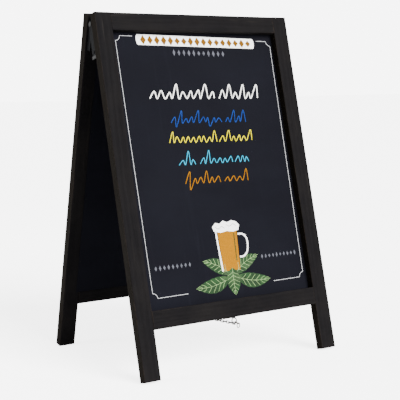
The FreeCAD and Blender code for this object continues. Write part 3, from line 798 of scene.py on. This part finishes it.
def leaf_paint(name, colour, light):
    """Painted leaf in two tones, with a few paler patches."""
    material, graph, shader, place = new_material(name)
    caught = use_group(graph, "caught_chalk", {"Vector": place, "Dryness": 0.1})
    lights = graph.ramp(graph.noise(place, 34.0, 3.0), 0.52, 0.72)
    shade = graph.ramp(graph.noise(place, 52.0, 3.0), 0.36, 0.62)
    deep = tuple(0.45 * level for level in colour)
    body = graph.mix(shade, deep, tuple(colour))
    lit = graph.mix(graph.math("MULTIPLY", lights, 0.12), body, tuple(light))
    graph.put(shader.inputs["Base Color"],
              graph.mix(graph.ramp(caught["Cover"], 0.0, 1.0, 0.6, 0.0), lit, deep))
    graph.put(shader.inputs["Roughness"], graph.ramp(caught["Tone"], 0.8, 1.1, 0.9, 0.7))
    shader.inputs["Specular IOR Level"].default_value = 0.2
    relief(graph, shader, caught["Height"], 0.3, 0.0003)
    return material


class BOARD_OT_groups(bpy.types.Operator):
    """Builds the shader groups and the Geometry Nodes trees that the pieces share"""

    bl_idname = "sandwich_board.groups"
    bl_label = "Shared Node Groups"

    def execute(self, context):
        for build in (grain_group, edge_group, dust_group, chalk_group, metal_group,
                      stroke_tree, band_tree):
            build()
        return {"FINISHED"}


class BOARD_OT_timber(bpy.types.Operator):
    """Stains the legs and the rails of both boards, and finishes the dowels"""

    bl_idname = "sandwich_board.timber"
    bl_label = "Timber"

    def execute(self, context):
        offset = 0.0
        for board in BOARDS:
            for piece in LEGS + RAILS:
                offset += 0.37
                node = "%s_%s" % (board, piece)
                dress(node, stained_timber("stain_" + node, node, board, piece in RAILS, offset))
        beech = turned_dowel("beech_dowel")
        for board in BOARDS:
            dress(board + "_dowels", beech)
        return {"FINISHED"}


class BOARD_OT_panels(bpy.types.Operator):
    """Paints both panels as blackboards"""

    bl_idname = "sandwich_board.panels"
    bl_label = "Panels"

    def execute(self, context):
        for board in BOARDS:
            dress(board + "_panel", painted_panel("blackboard_" + board, board))
        return {"FINISHED"}


class BOARD_OT_hardware(bpy.types.Operator):
    """Finishes the hinges, screws, eyes, pins and chain"""

    bl_idname = "sandwich_board.hardware"
    bl_label = "Hardware"

    def execute(self, context):
        finish = context.scene.board_finish
        blackened = plated("blackened_steel", finish.dark_steel, 0.3, 0.45, gloss=0.08)
        zinc = plated("zinc_plate", finish.zinc, 1.0, 0.34)
        wire = plated("nickel_wire", finish.chain, 1.0, 0.22, 1.6)
        spare = plated("spare_link_wire", tuple(1.25 * level for level in finish.chain), 1.0, 0.28, 1.6)
        for hand in ("left", "right"):
            dress(hand + "_hinge_front_leaf", blackened)
            dress(hand + "_hinge_rear_leaf", blackened)
            dress(hand + "_hinge_button", blackened)
            for piece in ("rivet", "stop"):
                dress("%s_hinge_%s" % (hand, piece), zinc)
        for board in BOARDS:
            dress(board + "_hinge_screws", zinc)
            dress(board + "_screw_eye", zinc)
            dress(board + "_panel_pins", blackened)
            dress(board + "_chain_links", wire)
        dress("chain_end_links", spare)
        return {"FINISHED"}


class BOARD_OT_border(bpy.types.Operator):
    """Draws the thin border line with its notched corners on both panels"""

    bl_idname = "sandwich_board.border"
    bl_label = "Border"

    def execute(self, context):
        drawing = context.scene.board_drawing
        paint = chalk("border_paint", drawing.border, 0.05)
        sides = [(notched_side(*side), False) for side in BORDER_SIDES]
        for board in BOARDS:
            draw_strokes(board + "_border_line", board, sides, drawing.border_width / MM, LINE_TOP,
                         paint, smooth=False, uneven=0.08)
        return {"FINISHED"}


class BOARD_OT_plaque(bpy.types.Operator):
    """Lays the white plaque and its row of lozenges on both panels"""

    bl_idname = "sandwich_board.plaque"
    bl_label = "Plaque"

    def execute(self, context):
        drawing = context.scene.board_drawing
        white = chalk("plaque_paint", drawing.white, 0.0, board_shows=False)
        gold = chalk("plaque_gold", drawing.gold, 0.12, board_shows=False)
        grey = chalk("ornament_grey", drawing.grey, 0.3)
        for board in BOARDS:
            draw_fills(board + "_plaque", board, [plaque_outline()], FILL_TOP, white)
            draw_band(board + "_plaque_band", board, *PLAQUE_BAND, gold, top=OVER_TOP)
            draw_band(board + "_grey_band", board, *GREY_BAND, grey)
        return {"FINISHED"}


class BOARD_OT_captions(bpy.types.Operator):
    """Draws the two small rows of grey lozenges near the foot of the front panel"""

    bl_idname = "sandwich_board.captions"
    bl_label = "Small Ornaments"

    def execute(self, context):
        grey = bpy.data.materials["ornament_grey"]
        draw_band("front_left_small_band", "front", *LEFT_BAND, grey, seed=5)
        draw_band("front_right_small_band", "front", *RIGHT_BAND, grey, seed=7)
        return {"FINISHED"}


class BOARD_OT_rows(bpy.types.Operator):
    """Draws the five rows of chalk strokes on the front panel"""

    bl_idname = "sandwich_board.rows"
    bl_label = "Chalk Rows"

    def execute(self, context):
        drawing = context.scene.board_drawing
        rng = random.Random(drawing.seed)
        for name, foot, low, tall, drop, pitch, words in ROWS:
            material = chalk(name + "_chalk", getattr(drawing, name), 0.24)
            shape = (foot, low, tall, drop, pitch)
            lines = [(stroke_word(rng, left, right, shape), False) for left, right in words]
            is_title = name == WHITE_CHALK
            width = (drawing.title_width if is_title else drawing.row_width) / MM
            draw_strokes("front_%s_row" % name, "front", lines, width, LINE_TOP, material)
        return {"FINISHED"}


class BOARD_OT_picture(bpy.types.Operator):
    """Draws a plain mug in a fan of leaves on the front panel"""

    bl_idname = "sandwich_board.picture"
    bl_label = "Picture"

    def execute(self, context):
        drawing = context.scene.board_drawing
        white = bpy.data.materials["white_chalk"]
        amber = chalk("drink_paint", drawing.amber, 0.08, board_shows=False)
        foam = chalk("foam_paint", drawing.white, 0.12, board_shows=False)
        leaf = leaf_paint("leaf_paint", drawing.leaf, drawing.cream)
        cream = chalk("vein_paint", drawing.cream, 0.2, board_shows=False)
        shapes = [leaf_shape(each) for each in LEAVES]
        draw_fills("front_leaves", "front", [outline for outline, _ in shapes], FILL_TOP, leaf)
        veins = [(vein, False) for _, many in shapes for vein in many]
        draw_strokes("front_leaf_veins", "front", veins, VEIN_WIDTH, LINE_TOP, cream, uneven=0.5)
        draw_fills("front_mug_body", "front", [MUG_BODY], FILL_TOP + MUG_LIFT, amber)
        draw_fills("front_mug_foam", "front", [FOAM], LINE_TOP, foam)
        draw_strokes("front_mug_lines", "front", [(MUG_RIM, False), (MUG_HANDLE, False)], RIM_WIDTH,
                     LINE_TOP + RIM_LIFT, white, uneven=0.35)
        outline, many = leaf_shape(OVER_LEAF)
        draw_fills("front_over_leaf", "front", [outline], OVER_TOP, leaf)
        draw_strokes("front_over_leaf_veins", "front", [(vein, False) for vein in many],
                     VEIN_WIDTH, DETAIL_TOP, cream, uneven=0.5)
        draw_strokes("front_foam_curls", "front", [(curl, False) for curl in FOAM_CURLS],
                     CURL_WIDTH, OVER_TOP, bpy.data.materials["ornament_grey"], uneven=0.4)
        draw_strokes("front_mug_shade", "front", [(MUG_SHADE, False)], SHADE_WIDTH,
                     LINE_TOP, leaf, uneven=0.4)
        return {"FINISHED"}


class BOARD_OT_stage(bpy.types.Operator):
    """Lays the floor and sets the lights and the camera"""

    bl_idname = "sandwich_board.stage"
    bl_label = "Studio"

    def execute(self, context):
        studio = context.scene.board_studio
        lay_floor(studio)
        light_sky(studio)
        target = (Vector(CAD_BOX[0]) + Vector(CAD_BOX[1])) / 2
        shine_key("front_light", (0.6, -2.6, 2.1), target, studio.key)
        hang_light("side_light", (-3.0, 0.5, 1.2), target, 1.6, studio.side)
        stand_camera(studio)
        return {"FINISHED"}


def lay_floor(studio):
    """The pale ground the board stands on."""
    floor = bpy.data.meshes.new("floor")
    reach = 40.0
    level = CAD_BOX[0][2]
    corners = [(-reach, -reach, level), (reach, -reach, level), (reach, reach, level),
               (-reach, reach, level)]
    floor.from_pydata(corners, [], [(0, 1, 2, 3)])
    material, graph, shader, place = new_material("pale_floor")
    cloud = graph.noise(place, 1.5, 2.0)
    darker = tuple(0.98 * tone for tone in studio.floor)
    graph.put(shader.inputs["Base Color"], graph.mix(cloud, darker, tuple(studio.floor)))
    shader.inputs["Roughness"].default_value = 0.9
    shader.inputs["Specular IOR Level"].default_value = 0.1
    shader.inputs["Emission Color"].default_value = (1.0, 1.0, 1.0, 1.0)
    seen = graph.add("ShaderNodeLightPath").outputs["Is Camera Ray"]
    graph.put(shader.inputs["Emission Strength"], graph.math("MULTIPLY", seen, studio.glow))
    floor.materials.append(material)
    piece = bpy.data.objects.new("floor", floor)
    bpy.context.scene.collection.objects.link(piece)


def light_sky(studio):
    """An even white sky, brighter where the camera sees it."""
    world = bpy.data.worlds.new("studio_sky")
    world.use_nodes = True
    graph = Graph(world.node_tree)
    background = world.node_tree.nodes["Background"]
    background.inputs["Color"].default_value = (1.0, 1.0, 1.0, 1.0)
    is_backdrop = graph.add("ShaderNodeLightPath").outputs["Is Camera Ray"]
    graph.put(background.inputs["Strength"],
              graph.ramp(is_backdrop, 0.0, 1.0, studio.sky, studio.backdrop))
    bpy.context.scene.world = world


def hang_light(name, place, target, size, power):
    """A round soft lamp turned to the board."""
    lamp = bpy.data.lights.new(name, "AREA")
    lamp.shape = "DISK"
    lamp.size = size
    lamp.energy = power
    holder = bpy.data.objects.new(name, lamp)
    holder.location = place
    holder.rotation_euler = (target - Vector(place)).to_track_quat("-Z", "Y").to_euler()
    bpy.context.scene.collection.objects.link(holder)


def shine_key(name, place, target, strength):
    """A broad even light, the same strength all over the floor."""
    lamp = bpy.data.lights.new(name, "SUN")
    lamp.energy = strength
    lamp.angle = math.radians(38.0)
    holder = bpy.data.objects.new(name, lamp)
    holder.location = place
    holder.rotation_euler = (target - Vector(place)).to_track_quat("-Z", "Y").to_euler()
    bpy.context.scene.collection.objects.link(holder)


def stand_camera(studio):
    """The camera, with its own place, turn and lens."""
    lens = bpy.data.cameras.new("camera")
    lens.lens = studio.lens
    lens.clip_end = 200.0
    forward = Vector((math.sin(studio.heading) * math.cos(studio.pitch),
                      math.cos(studio.heading) * math.cos(studio.pitch), math.sin(studio.pitch)))
    right = Vector((math.cos(studio.heading), -math.sin(studio.heading), 0.0))
    upward = right.cross(forward)
    turned_right = right * math.cos(studio.roll) + upward * math.sin(studio.roll)
    turned_up = upward * math.cos(studio.roll) - right * math.sin(studio.roll)
    holder = bpy.data.objects.new("camera", lens)
    axes = Matrix((turned_right, turned_up, -forward)).transposed()
    holder.matrix_world = Matrix.Translation(Vector(studio.place)) @ axes.to_4x4()
    bpy.context.scene.collection.objects.link(holder)
    bpy.context.scene.camera = holder


PIECES = (BOARD_OT_groups, BOARD_OT_timber, BOARD_OT_panels, BOARD_OT_hardware, BOARD_OT_border,
          BOARD_OT_plaque, BOARD_OT_captions, BOARD_OT_rows, BOARD_OT_picture, BOARD_OT_stage)


class BOARD_PT_sidebar(bpy.types.Panel):
    """Lists the steps that finish and decorate the board"""

    bl_idname = "BOARD_PT_sidebar"
    bl_label = "Sandwich Board"
    bl_space_type = "VIEW_3D"
    bl_region_type = "UI"
    bl_category = "Sandwich Board"

    def draw(self, context):
        for group in SETTINGS:
            box = self.layout.box()
            for name in SETTINGS[group].__annotations__:
                box.prop(getattr(context.scene, group), name)
        for piece in PIECES:
            self.layout.operator(piece.bl_idname)


SETTINGS = {"board_finish": SandwichBoardFinish, "board_drawing": SandwichBoardDrawing,
            "board_studio": SandwichBoardStudio}


def register():
    for group, settings in SETTINGS.items():
        bpy.utils.register_class(settings)
        setattr(bpy.types.Scene, group, PointerProperty(type=settings))
    for piece in PIECES + (BOARD_PT_sidebar,):
        bpy.utils.register_class(piece)


def unregister():
    for piece in reversed(PIECES + (BOARD_PT_sidebar,)):
        bpy.utils.unregister_class(piece)
    for group, settings in SETTINGS.items():
        delattr(bpy.types.Scene, group)
        bpy.utils.unregister_class(settings)


def main():
    register()
    for piece in PIECES:
        family, step = piece.bl_idname.split(".")
        getattr(getattr(bpy.ops, family), step)()


if __name__ == "__main__":
    main()
